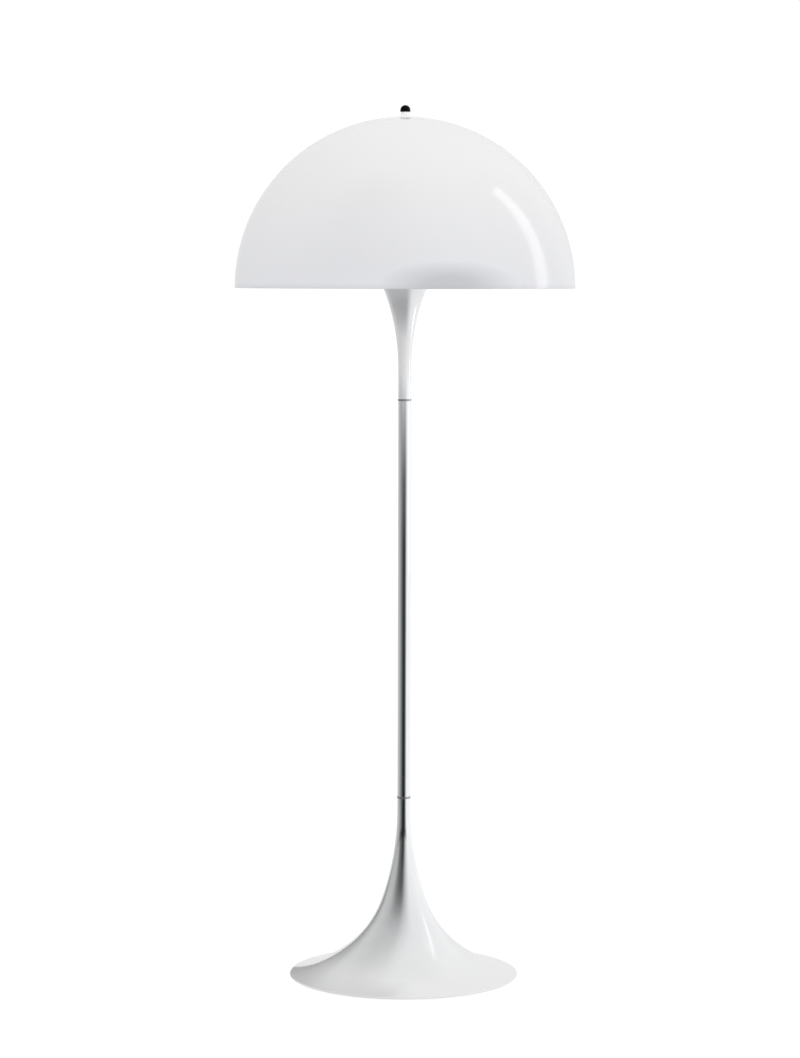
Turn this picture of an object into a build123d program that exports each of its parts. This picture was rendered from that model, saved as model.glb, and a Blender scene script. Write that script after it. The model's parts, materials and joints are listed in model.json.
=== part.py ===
"""Mushroom floor lamp: an opal dome over a small trumpet, a polished tube and a trumpet foot.

Millimetres. +Z is up and the origin is on the floor, under the middle of the stem. The front is -Y,
and the cord leaves the foot at +Y. One hollow rod clamps the foot, tube and upper trumpet together.
A second one carries the shade and a rotary switch, whose knob shows above the crown.
"""
from build123d import *
from math import acos, asin, cos, degrees, radians, sin, sqrt
import os

# ---- clearances ----
SLIP = 0.3           # between curved pieces that sit beside each other
FIT = 0.05           # radial play round a rod, screw or shaft
LOOSE = 1.0          # round a piece that is dropped into a cavity

# ---- foot: floor pad, plate and trumpet shell ----
PAD_T = 2.0          # rubber ring on the floor
PAD_W = 18.0
PAD_INSET = 9.9      # from the plate's rim
PLATE_T = 1.5
EDGE_RISE = 0.95     # top of the shell's edge above the plate
FOOT_WALL = 2.6
FOOT_ARC_R = (408.0, 153.0, 192.0)   # flank, from the neck down
FOOT_ARC_END = (19.5, 46.0, 79.0)    # angle from the vertical where each arc ends
LIP_REACH = 2.4      # rounded lip beyond the last arc
LIP_DROP = 1.35      # from the last arc's end to the middle of the lip
LIP_COVER = 1.3      # how far the lip hangs below the plate's top
LIP_FLAT = 5.8       # width of the lip's flat underside
FOOT_NECK_L = 16.5   # straight neck above the arcs
FOOT_SHOULDER = 66.5  # depth of the clamping shoulder below the neck's top
NECK_BORE_R = 6.5

# ---- cord outlet at the rear of the foot ----
CORD_R = 2.5
OUTLET_INSET = 45.0  # middle of the bushing, from the foot's rim
BUSH_L = 10.0
BUSH_R = 4.0
GROOVE_R = 3.3
GROOVE_W = 3.2
RIB_HALF_W = 12.0
RIB_T = 3.0
CORD_HOLE_R = 3.2    # through the rear flank, in line with the bushing
CORD_HOLE_SILL = 12.0  # solid edge left between that hole and the rim

# ---- weight inside the foot ----
WEIGHT_R = 105.0
WEIGHT_EDGE_T = 12.5
WEIGHT_CONE_T = 10.0
HUB_R = 26.0
HUB_H = 46.5
HUB_FILLET = 9.0
SOCKET_R = 15.0      # recess for the rod's nut
NUT_SEAT = 38.5      # depth of that recess
CHANNEL_W = 22.0
CHANNEL_H = 10.0
PLATE_SCREWS = 4
PLATE_SCREW_RING_R = 92.0
PLATE_SCREW_ANGLE = 45.0
PLATE_SCREW_R = 2.5
PLATE_SCREW_L = 8.0
PLATE_HEAD_R = 4.5
PLATE_HEAD_T = 1.6

# ---- rods, nuts and stem ----
ROD_R = 5.0
ROD_BORE_R = 3.6
ROD_TAIL = 4.0       # thread left beyond a nut
NUT_FLATS = 17.0
NUT_T = 8.0
THIN_NUT_T = 5.0
WASHER_R = 12.0
WASHER_T = 2.0
SLEEVE_R = 8.0
TUBE_R = 9.5
TUBE_WALL = 1.5
TUBE_L = 588.0
RING_R = 10.1
RING_T = 3.0
RING_CHAMFER = 0.4
SPIGOT_L = 14.0

# ---- upper trumpet ----
HEAD_NECK_L = 47.5
HEAD_ARC_R = (310.0, 110.0)
HEAD_ARC_END = (22.0, 74.0)
HEAD_WALL = 2.4
HEAD_SHOULDER = 94.5  # clamping shoulder above the neck's lower end
HEAD_SLEEVE_L = 117.0

# ---- lampholders and bulbs ----
LAMPS = 3
LAMP_RING_R = 42.0
CLUSTER_R = 57.0
CLUSTER_T = 2.0
CLUSTER_LIP_H = 6.0
VENT_R = 5.0
STUB_L = 12.0
STUB_R = 5.0
STUB_BORE_R = 2.2
STUB_NUT_FLATS = 14.0
HOLDER_FOOT_R = 11.0
HOLDER_R = 12.8
HOLDER_FOOT_H = 13.0
HOLDER_H = 40.0
HOLDER_BORE_Z = 16.0
HOLDER_LEAD_Z = 10.0
HOLDER_COLLAR_Z = 24.0
HOLDER_COLLAR_H = 3.0
HOLDER_COLLAR = 1.2
CAP_R = 6.9
CAP_WALL = 0.6
CAP_H = 25.0
CAP_NUB_R = 2.5
CAP_NUB_H = 2.6
GLASS_R = 22.5
GLASS_T = 0.8
GLASS_NECK_R = 8.0
GLASS_BLEND_R = 10.0
GLASS_SINK = 17.0    # glass inside the cap
BULB_L = 75.0

# ---- leads inside the lamp ----
LEAD_R = 2.2
LEAD_BEND_R = 22.0
CORE_R = 1.1
CORE_RING_R = 2.4
CORE_BEND_R = 16.0
SPLIT_DROP = 66.0    # where the supply lead divides, below the cluster plate
CORE_RISE = 22.0     # height of the straight stretch after that
CORE_LAND = 22.0     # where a core turns up, below the cluster plate
WINDOW_W = 3.2
WINDOW_H = 22.0
WINDOW_DROP = 58.0
BLOCK_L = 20.0
BLOCK_W = 17.0
BLOCK_H = 8.0
BLOCK_Y = 78.0
BLOCK_WELL_R = 2.2
BLOCK_WELL_H = 3.0

# ---- shade and what holds it ----
RIM_RISE = 115.0     # rim of the shade above the start of the upper arcs
SHADE_R = 250.0
SHADE_WALL = 3.5
SHADE_EDGE = 1.0
CROWN_PAD_T = 2.0    # flat pad inside the crown
GASKET_R = 24.0
GASKET_T = 1.5
SEAT_R = 27.0
SEAT_T = 2.5
COUPLER_L = 30.0
COUPLER_FLATS = 15.0
HOUSING_R = 20.0
HOUSING_H = 49.5
HOUSING_WALL = 1.5
HOUSING_FLOOR_T = 2.5
FLANGE_T = 2.0
SEAT_SCREWS = 3
SEAT_SCREW_R = 1.5
SEAT_HEAD_R = 2.6
SEAT_HEAD_T = 1.8

# ---- switch, collar nut and knob ----
DRUM_R = 15.5
DRUM_H = 24.0
BUSHING_R = 5.0
SHAFT_R = 3.0
SHAFT_FLAT = 2.4     # distance of the flat from the axis
SHAFT_DEPTH = 18.0   # below the top of the drum
COLLAR_R = 12.0
COLLAR_TOP_R = 6.6
COLLAR_H = 7.2
COLLAR_FOOT_H = 0.8
COLLAR_TOP_H = 1.6
BUSHING_SINK = 0.5   # end of the threaded bushing below the collar's top
KNOB_R = 7.5
KNOB_SKIRT_H = 2.3
KNOB_DEPTH = 7.0

# ---- levels, worked out from the sizes above ----
PLATE_TOP = PAD_T + PLATE_T
EDGE_Z = PLATE_TOP + EDGE_RISE
LIP_Z = PLATE_TOP - LIP_COVER
NUT_SEAT_Z = PLATE_TOP + NUT_SEAT
HUB_TOP = PLATE_TOP + HUB_H
ROD_HOLE_R = ROD_R + FIT
TUBE_BORE_R = TUBE_R - TUBE_WALL


def trumpet_arcs(neck_r, start_z, up, arc_radii, ends):
    """Centres of the arcs of a trumpet that starts upright and widens. up is +1 or -1."""
    arcs = []
    r, z, start = neck_r, start_z, 0.0
    for radius, end in zip(arc_radii, ends):
        centre_r = r + radius * cos(radians(start))
        centre_z = z - up * radius * sin(radians(start))
        arcs.append((centre_r, centre_z, radius, start, end))
        r = centre_r - radius * cos(radians(end))
        z = centre_z + up * radius * sin(radians(end))
        start = end
    return arcs


def trumpet_point(arc, up, angle, wall):
    """Point of one arc at an angle from the vertical, wall mm inside the outer face."""
    centre_r, centre_z, radius = arc[:3]
    reach = radius + wall
    return (centre_r - reach * cos(radians(angle)), centre_z + up * reach * sin(radians(angle)))


FLANK = trumpet_arcs(TUBE_R, 0, -1, FOOT_ARC_R, FOOT_ARC_END)
FLANK_EDGE_R, FLANK_DROP = trumpet_point(FLANK[-1], -1, FOOT_ARC_END[-1], 0)
FOOT_ARCS_Z = EDGE_Z - FLANK_DROP
FOOT_RIM_R = FLANK_EDGE_R + LIP_REACH
PLATE_R = FOOT_RIM_R - LIP_FLAT - SLIP
PAD_OUT_R = PLATE_R - PAD_INSET
OUTLET_Y = FOOT_RIM_R - OUTLET_INSET
OUTLET_Z = PLATE_TOP + SLIP + BUSH_R
FOOT_TOP = FOOT_ARCS_Z + FOOT_NECK_L
FOOT_SHOULDER_Z = FOOT_TOP - FOOT_SHOULDER
TUBE_Z = FOOT_TOP + RING_T
TUBE_TOP = TUBE_Z + TUBE_L
HEAD_Z = TUBE_TOP + RING_T
HEAD_ARCS_Z = HEAD_Z + HEAD_NECK_L
HEAD_SHOULDER_Z = HEAD_Z + HEAD_SHOULDER
CLUSTER_Z = HEAD_SHOULDER_Z + HEAD_SLEEVE_L
HOLDER_Z = CLUSTER_Z + CLUSTER_T
ROD_TOP = HOLDER_Z + COUPLER_L / 2
SPLIT_Z = CLUSTER_Z - SPLIT_DROP
RIM_Z = HEAD_ARCS_Z + RIM_RISE
CROWN_PAD_Z = RIM_Z + SHADE_R - SHADE_WALL - CROWN_PAD_T
SEAT_Z = CROWN_PAD_Z - GASKET_T - SEAT_T
HOUSING_Z = SEAT_Z - HOUSING_H
COLLAR_Z = RIM_Z + sqrt(SHADE_R ** 2 - (COLLAR_R + SLIP) ** 2)
KNOB_Z = COLLAR_Z + COLLAR_H + SLIP
LAMP_ANGLES = [90.0 + 360.0 / LAMPS * i for i in range(LAMPS)]


# ---- helpers ----
def turned(*edges):
    """Solid turned about the stem from a closed outline of edges in (radius, height)."""
    return revolve(Plane.XZ * make_face(Curve() + list(edges)), axis=Axis.Z)


def turned_outline(*points):
    """Solid turned about the stem from straight lines between (radius, height) points."""
    return turned(Polyline(*points, close=True))


def tube(outer_r, inner_r, low, high):
    """Upright cylinder with a bore."""
    return turned_outline((inner_r, low), (outer_r, low), (outer_r, high), (inner_r, high))


def rod(radius, low, high):
    """Upright solid cylinder."""
    return Pos(0, 0, (low + high) / 2) * Cylinder(radius, high - low)


def hex_nut(flats, bore_r, low, high):
    """Six-sided nut round the axis."""
    outline = RegularPolygon(flats / 2, 6, major_radius=False) - Circle(bore_r)
    return Pos(0, 0, low) * extrude(outline, high - low)


def around(count, radius, first_angle=0.0):
    """Places evenly spread on a circle round the axis."""
    step = 360.0 / count
    return [Rot(0, 0, first_angle + step * i) * Pos(radius, 0, 0) for i in range(count)]


def rear_box(width, near, far, low, high):
    """Block across the rear of the foot, from near to far along Y."""
    return Pos(0, (near + far) / 2, (low + high) / 2) * Box(width, far - near, high - low)


def group(name, *solids):
    """Separate solids that share one node."""
    return name, Compound(children=list(solids))


def trumpet_angle(arcs, up, z, wall):
    """Angle from the vertical where the face at this wall depth reaches height z."""
    for centre_r, centre_z, radius, start, end in arcs:
        ratio = up * (z - centre_z) / (radius + wall)
        if sin(radians(start)) <= ratio <= sin(radians(end)):
            return degrees(asin(ratio))
    return arcs[-1][4]


def trumpet_edges(arcs, up, wall, first, last):
    """Arcs of the face at this wall depth between two angles from the vertical."""
    edges = []
    for arc in arcs:
        start, end = max(arc[3], first), min(arc[4], last)
        if end > start:
            angles = (start, (start + end) / 2, end)
            edges.append(ThreePointArc(*[trumpet_point(arc, up, angle, wall) for angle in angles]))
    return edges


def outlet(solid):
    """Move a solid made on the Z axis to the cord outlet, with its axis along Y."""
    return Pos(0, OUTLET_Y, OUTLET_Z) * Rot(-90, 0, 0) * solid


def lead(radius, points, bends):
    """Round lead along straight runs joined by tangent arcs."""
    path = FilletPolyline(*points, radius=bends)
    return sweep(Plane(origin=path @ 0, z_dir=path % 0) * Circle(radius), path=path)


# ---- foot ----
def base_plate():
    plate = rod(PLATE_R, PAD_T, PLATE_TOP)
    for place in around(PLATE_SCREWS, PLATE_SCREW_RING_R, PLATE_SCREW_ANGLE):
        plate -= place * rod(PLATE_SCREW_R + FIT, 0, PLATE_TOP)
    return plate


def plate_screws():
    head = rod(PLATE_HEAD_R, PAD_T - PLATE_HEAD_T, PAD_T)
    screw = head + rod(PLATE_SCREW_R, PAD_T, PLATE_TOP + PLATE_SCREW_L)
    return [place * screw for place in around(PLATE_SCREWS, PLATE_SCREW_RING_R, PLATE_SCREW_ANGLE)]


def foot_shell():
    arcs = trumpet_arcs(TUBE_R, FOOT_ARCS_Z, -1, FOOT_ARC_R, FOOT_ARC_END)
    last = FOOT_ARC_END[-1]
    ledge_angle = trumpet_angle(arcs, -1, PLATE_TOP, FOOT_WALL)
    ledge = trumpet_point(arcs[-1], -1, ledge_angle, FOOT_WALL)
    shoulder_angle = trumpet_angle(arcs, -1, FOOT_SHOULDER_Z, FOOT_WALL)
    shoulder = trumpet_point(arcs[0], -1, shoulder_angle, FOOT_WALL)
    lip = (FOOT_RIM_R, EDGE_Z - LIP_DROP)
    lip_low = (FOOT_RIM_R - LIP_DROP / 2, LIP_Z)
    lip_in = FOOT_RIM_R - LIP_FLAT
    shell = turned(
        Polyline(shoulder, (NECK_BORE_R, FOOT_SHOULDER_Z), (NECK_BORE_R, FOOT_TOP),
                 (TUBE_R, FOOT_TOP), (TUBE_R, FOOT_ARCS_Z)),
        *trumpet_edges(arcs, -1, 0, 0, last),
        TangentArc((FLANK_EDGE_R, EDGE_Z), lip, tangent=(sin(radians(last)), -cos(radians(last)))),
        Polyline(lip, lip_low, (lip_in, LIP_Z), (lip_in, PLATE_TOP), ledge),
        *trumpet_edges(arcs, -1, FOOT_WALL, shoulder_angle, ledge_angle),
    )
    return shell + bushing_rib(arcs) - cord_hole()


def bushing_rib(arcs):
    """Wall inside the rear of the shell, with a slot open below that holds the cord bushing."""
    last = FOOT_ARC_END[-1]
    edge = trumpet_point(arcs[-1], -1, last, FOOT_WALL / 2)
    filled = turned(
        *trumpet_edges(arcs, -1, FOOT_WALL / 2, 0, last),
        Polyline(edge, (0, edge[1]), (0, FOOT_ARCS_Z), trumpet_point(arcs[0], -1, 0, FOOT_WALL / 2)),
    )
    near, far = OUTLET_Y - RIB_T / 2, OUTLET_Y + RIB_T / 2
    rib = rear_box(2 * RIB_HALF_W, near, far, PLATE_TOP, HUB_TOP)
    slot_r = GROOVE_R + 2 * FIT
    slot = outlet(Cylinder(slot_r, RIB_T)) + rear_box(2 * slot_r, near, far, 0, OUTLET_Z)
    return (rib & filled) - slot


def cord_hole():
    """Hole through the rear flank, open down to the plate behind its sill."""
    near, far = OUTLET_Y + BUSH_L / 2 + LOOSE, FOOT_RIM_R + LOOSE
    hole = Pos(0, (near + far) / 2, OUTLET_Z) * Rot(90, 0, 0) * Cylinder(CORD_HOLE_R, far - near)
    sill_y = FOOT_RIM_R - CORD_HOLE_SILL
    return hole + rear_box(2 * CORD_HOLE_R, near, sill_y, PLATE_TOP, OUTLET_Z)


def cord_bushing():
    half, groove = BUSH_L / 2, GROOVE_W / 2
    bore = CORD_R + 2 * FIT
    return outlet(turned_outline(
        (bore, -half), (BUSH_R, -half), (BUSH_R, -groove), (GROOVE_R, -groove),
        (GROOVE_R, groove), (BUSH_R, groove), (BUSH_R, half), (bore, half)))


def ballast_weight():
    cone_top = PLATE_TOP + WEIGHT_EDGE_T + WEIGHT_CONE_T
    weight = turned_outline(
        (0, PLATE_TOP), (WEIGHT_R, PLATE_TOP), (WEIGHT_R, PLATE_TOP + WEIGHT_EDGE_T),
        (HUB_R, cone_top), (HUB_R, HUB_TOP), (0, HUB_TOP))
    circles = weight.edges().filter_by(GeomType.CIRCLE)
    weight = fillet(circles.filter_by_position(Axis.Z, cone_top - FIT, cone_top + FIT), HUB_FILLET)
    weight -= rod(SOCKET_R, PLATE_TOP, NUT_SEAT_Z) + rod(ROD_HOLE_R, PLATE_TOP, HUB_TOP)
    weight -= rear_box(CHANNEL_W, 0, WEIGHT_R + LOOSE, PLATE_TOP, PLATE_TOP + CHANNEL_H)
    for place in around(PLATE_SCREWS, PLATE_SCREW_RING_R, PLATE_SCREW_ANGLE):
        weight -= place * rod(PLATE_SCREW_R + FIT, PLATE_TOP, PLATE_TOP + PLATE_SCREW_L + LOOSE)
    return weight


def terminal_block():
    block = rear_box(BLOCK_W, BLOCK_Y, BLOCK_Y + BLOCK_L, PLATE_TOP, PLATE_TOP + BLOCK_H)
    wells = GridLocations(BLOCK_W / 2, BLOCK_L / 2, 2, 2)
    for place in wells:
        block -= Pos(0, BLOCK_Y + BLOCK_L / 2, 0) * place * rod(
            BLOCK_WELL_R, PLATE_TOP + BLOCK_H - BLOCK_WELL_H, PLATE_TOP + BLOCK_H)
    return block


# ---- stem ----
def joint_ring(low, bore_below, bore_above):
    """Dark ring with a spigot each way, which lines two tubes up round the rod."""
    high = low + RING_T
    below, above = bore_below - FIT, bore_above - FIT
    ring = turned_outline(
        (ROD_HOLE_R, low - SPIGOT_L), (below, low - SPIGOT_L), (below, low), (RING_R, low),
        (RING_R, high), (above, high), (above, high + SPIGOT_L), (ROD_HOLE_R, high + SPIGOT_L))
    rim = ring.edges().filter_by(GeomType.CIRCLE).filter_by(lambda edge: edge.radius > RING_R - FIT)
    return chamfer(rim, RING_CHAMFER)


def lead_windows(inner_r, outer_r):
    """Upright slots through a wall, one towards each lampholder."""
    middle = (inner_r + outer_r) / 2
    slot = Pos(middle, 0, CLUSTER_Z - WINDOW_DROP + WINDOW_H / 2) * Box(
        2 * (outer_r - inner_r), WINDOW_W, WINDOW_H)
    return [Rot(0, 0, angle) * slot for angle in LAMP_ANGLES]


def tie_rod():
    pipe = tube(ROD_R, ROD_BORE_R, NUT_SEAT_Z - WASHER_T - NUT_T - ROD_TAIL, ROD_TOP)
    return pipe - lead_windows(ROD_BORE_R, ROD_R)


def head_sleeve():
    sleeve = tube(SLEEVE_R, ROD_HOLE_R, HEAD_SHOULDER_Z, CLUSTER_Z)
    return sleeve - lead_windows(ROD_HOLE_R, SLEEVE_R)


# ---- upper trumpet ----
def head_shell():
    arcs = trumpet_arcs(TUBE_R, HEAD_ARCS_Z, 1, HEAD_ARC_R, HEAD_ARC_END)
    last = HEAD_ARC_END[-1]
    shoulder_angle = trumpet_angle(arcs, 1, HEAD_SHOULDER_Z, HEAD_WALL)
    outer = trumpet_point(arcs[-1], 1, last, 0)
    inner = trumpet_point(arcs[-1], 1, last, HEAD_WALL)
    half = HEAD_WALL / 2
    middle = trumpet_point(arcs[-1], 1, last, half)
    tip = (middle[0] + half * sin(radians(last)), middle[1] + half * cos(radians(last)))
    return turned(
        Polyline(trumpet_point(arcs[0], 1, shoulder_angle, HEAD_WALL), (NECK_BORE_R, HEAD_SHOULDER_Z),
                 (NECK_BORE_R, HEAD_Z), (TUBE_R, HEAD_Z), (TUBE_R, HEAD_ARCS_Z)),
        *trumpet_edges(arcs, 1, 0, 0, last),
        ThreePointArc(outer, tip, inner),
        *trumpet_edges(arcs, 1, HEAD_WALL, shoulder_angle, last),
    )


# ---- lampholders and bulbs ----
def cluster_plate():
    lip_r = CLUSTER_R - CLUSTER_T
    plate = turned_outline(
        (ROD_HOLE_R, CLUSTER_Z), (CLUSTER_R, CLUSTER_Z), (CLUSTER_R, CLUSTER_Z + CLUSTER_LIP_H),
        (lip_r, CLUSTER_Z + CLUSTER_LIP_H), (lip_r, HOLDER_Z), (ROD_HOLE_R, HOLDER_Z))
    for place in around(LAMPS, LAMP_RING_R, LAMP_ANGLES[0]):
        plate -= place * rod(STUB_R + FIT, CLUSTER_Z, HOLDER_Z)
    for place in around(LAMPS, LAMP_RING_R, LAMP_ANGLES[0] + 180.0 / LAMPS):
        plate -= place * rod(VENT_R, CLUSTER_Z, HOLDER_Z)
    return plate


def lampholder():
    """Screw lampholder standing on the axis, with a threaded stub below the plate."""
    collar_z = HOLDER_Z + HOLDER_COLLAR_Z
    collar_top = collar_z + HOLDER_COLLAR_H
    top = HOLDER_Z + HOLDER_H
    bore_r = CAP_R + SLIP
    stub_z = HOLDER_Z - STUB_L
    holder = turned_outline(
        (0, stub_z), (STUB_R, stub_z), (STUB_R, HOLDER_Z), (HOLDER_FOOT_R, HOLDER_Z),
        (HOLDER_R, HOLDER_Z + HOLDER_FOOT_H), (HOLDER_R, collar_z),
        (HOLDER_R + HOLDER_COLLAR, collar_z), (HOLDER_R + HOLDER_COLLAR, collar_top),
        (HOLDER_R, collar_top), (HOLDER_R, top - HOLDER_COLLAR), (HOLDER_R - HOLDER_COLLAR, top),
        (bore_r, top), (bore_r, HOLDER_Z + HOLDER_BORE_Z), (0, HOLDER_Z + HOLDER_BORE_Z))
    return holder - rod(STUB_BORE_R, stub_z, HOLDER_Z + HOLDER_LEAD_Z)


def bulb_cap():
    """Screw cap: a contact nub under a thin cup that holds the neck of the glass."""
    low = HOLDER_Z + HOLDER_BORE_Z + SLIP
    cup = low + CAP_NUB_H
    top = low + CAP_H
    inner = CAP_R - CAP_WALL
    floor = top - GLASS_SINK - SLIP
    return turned_outline(
        (0, low), (CAP_NUB_R, low), (CAP_R, cup), (CAP_R, top), (inner, top), (inner, floor), (0, floor))


def bulb_glass():
    """Hollow opal ball on a waisted neck, open inside the cap."""
    cap_top = HOLDER_Z + HOLDER_BORE_Z + SLIP + CAP_H
    ball_z = HOLDER_Z + HOLDER_BORE_Z + SLIP + BULB_L - GLASS_R
    blend_r = GLASS_NECK_R + GLASS_BLEND_R
    blend_z = ball_z - sqrt((GLASS_R + GLASS_BLEND_R) ** 2 - blend_r ** 2)
    tail_r = CAP_R - CAP_WALL - SLIP
    tail_z = cap_top - GLASS_SINK
    step_z = max(blend_z, cap_top + SLIP)

    def face(wall):
        """Edges of the glass from the neck's step to the crown, wall mm inside the outer face."""
        blend = GLASS_BLEND_R + wall
        ball = GLASS_R - wall
        low = step_z + wall - blend_z
        start = (blend_r - sqrt(blend ** 2 - low ** 2), blend_z + low)
        turn = acos(blend_r / (GLASS_R + GLASS_BLEND_R))
        meet = (ball * cos(turn), ball_z - ball * sin(turn))
        half = (asin(low / blend) + turn) / 2
        middle = (blend_r - blend * cos(half), blend_z + blend * sin(half))
        side = (ball * cos((radians(90) - turn) / 2), ball_z + ball * sin((radians(90) - turn) / 2))
        crown = (0, ball_z + ball)
        return start, crown, [ThreePointArc(start, middle, meet), ThreePointArc(meet, side, crown)]

    outer_start, outer_crown, outer = face(0)
    inner_start, inner_crown, inner = face(GLASS_T)
    return turned(
        Polyline(outer_start, (tail_r, step_z), (tail_r, tail_z), (tail_r - GLASS_T, tail_z),
                 (tail_r - GLASS_T, inner_start[1]), inner_start),
        *outer, Line(outer_crown, inner_crown), *inner)


# ---- leads ----
def supply_lead():
    """From the terminal block along the channel and up the rod."""
    level = PLATE_TOP + BLOCK_H / 2
    return lead(LEAD_R, [(0, BLOCK_Y, level), (0, 0, level), (0, 0, SPLIT_Z)], LEAD_BEND_R)


def holder_leads():
    """One core from the end of the supply lead to each lampholder."""
    core = lead(CORE_R, [
        (CORE_RING_R, 0, SPLIT_Z), (CORE_RING_R, 0, SPLIT_Z + CORE_RISE),
        (LAMP_RING_R, 0, CLUSTER_Z - CORE_LAND), (LAMP_RING_R, 0, HOLDER_Z + HOLDER_LEAD_Z)],
        CORE_BEND_R)
    return [Rot(0, 0, angle) * core for angle in LAMP_ANGLES]


# ---- shade and its support ----
def shade():
    inner_r = SHADE_R - SHADE_WALL
    flat_r = COLLAR_R + SLIP
    pad_rise = CROWN_PAD_Z - RIM_Z
    pad_r = sqrt(inner_r ** 2 - pad_rise ** 2)
    hole_r = BUSHING_R + SLIP

    def dome_point(radius):
        return radius * cos(radians(45)), RIM_Z + radius * sin(radians(45))

    dome = turned(
        Line((hole_r, CROWN_PAD_Z), (hole_r, COLLAR_Z)),
        Line((hole_r, COLLAR_Z), (flat_r, COLLAR_Z)),
        ThreePointArc((flat_r, COLLAR_Z), dome_point(SHADE_R), (SHADE_R, RIM_Z)),
        Line((SHADE_R, RIM_Z), (inner_r, RIM_Z)),
        ThreePointArc((inner_r, RIM_Z), dome_point(inner_r), (pad_r, CROWN_PAD_Z)),
        Line((pad_r, CROWN_PAD_Z), (hole_r, CROWN_PAD_Z)),
    )
    return fillet(dome.edges().filter_by(GeomType.CIRCLE).group_by(Axis.Z)[0], SHADE_EDGE)


def seat_screw_places():
    ring_r = (HOUSING_R + SEAT_R) / 2
    return around(SEAT_SCREWS, ring_r, LAMP_ANGLES[0])


def switch_housing():
    """Cup under the crown, with a flange that carries the seat."""
    inner = HOUSING_R - HOUSING_WALL
    floor = HOUSING_Z + HOUSING_FLOOR_T
    flange = SEAT_Z - FLANGE_T
    cup = turned_outline(
        (ROD_HOLE_R, HOUSING_Z), (HOUSING_R, HOUSING_Z), (HOUSING_R, flange), (SEAT_R, flange),
        (SEAT_R, SEAT_Z), (inner, SEAT_Z), (inner, floor), (ROD_HOLE_R, floor))
    for place in seat_screw_places():
        cup -= place * rod(SEAT_SCREW_R + FIT, flange, SEAT_Z)
    return cup


def shade_seat():
    seat = tube(SEAT_R, BUSHING_R + FIT, SEAT_Z, SEAT_Z + SEAT_T)
    for place in seat_screw_places():
        seat -= place * rod(SEAT_SCREW_R + FIT, SEAT_Z, SEAT_Z + SEAT_T)
    return seat


def seat_screws():
    head = rod(SEAT_HEAD_R, SEAT_Z - FLANGE_T - SEAT_HEAD_T, SEAT_Z - FLANGE_T)
    screw = head + rod(SEAT_SCREW_R, SEAT_Z - FLANGE_T, SEAT_Z + SEAT_T)
    return [place * screw for place in seat_screw_places()]


def support_nuts():
    """Nuts that hold the support rod to the floor of the switch housing."""
    floor = HOUSING_Z + HOUSING_FLOOR_T
    return [hex_nut(NUT_FLATS, ROD_HOLE_R, HOUSING_Z - THIN_NUT_T, HOUSING_Z),
            hex_nut(NUT_FLATS, ROD_HOLE_R, floor, floor + THIN_NUT_T)]


# ---- switch, collar nut and knob ----
def switch_body():
    """Drum under the seat with a threaded bushing through the crown, bored for the shaft."""
    bushing = rod(BUSHING_R, SEAT_Z, COLLAR_Z + COLLAR_H - BUSHING_SINK)
    drum = rod(DRUM_R, SEAT_Z - DRUM_H, SEAT_Z)
    return drum + bushing - rod(SHAFT_R + FIT, SEAT_Z - SHAFT_DEPTH - SLIP, KNOB_Z)


def collar_nut():
    """White nut whose flank curves in from the crown to the knob."""
    bore = BUSHING_R + FIT
    top = COLLAR_Z + COLLAR_H
    foot = (COLLAR_R, COLLAR_Z + COLLAR_FOOT_H)
    shoulder = (COLLAR_TOP_R, top - COLLAR_TOP_H)
    return turned(
        Polyline(foot, (COLLAR_R, COLLAR_Z), (bore, COLLAR_Z), (bore, top), (COLLAR_TOP_R, top), shoulder),
        TangentArc(shoulder, foot, tangent=(0, -1)))


def d_section(radius, flat, low, high):
    """Shaft or socket with one flat side."""
    return rod(radius, low, high) - Pos(0, flat + radius, (low + high) / 2) * Box(
        2 * radius, 2 * radius, high - low)


def switch_shaft():
    top = KNOB_Z + KNOB_DEPTH - SLIP
    return rod(SHAFT_R, SEAT_Z - SHAFT_DEPTH, KNOB_Z) + d_section(SHAFT_R, SHAFT_FLAT, KNOB_Z, top)


def knob():
    skirt = KNOB_Z + KNOB_SKIRT_H
    half = radians(45)
    middle = (KNOB_R * cos(half), skirt + KNOB_R * sin(half))
    body = turned(
        Polyline((0, skirt + KNOB_R), (0, KNOB_Z), (KNOB_R, KNOB_Z), (KNOB_R, skirt)),
        ThreePointArc((KNOB_R, skirt), middle, (0, skirt + KNOB_R)))
    return body - d_section(SHAFT_R + FIT, SHAFT_FLAT + FIT, KNOB_Z, KNOB_Z + KNOB_DEPTH)


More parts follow.
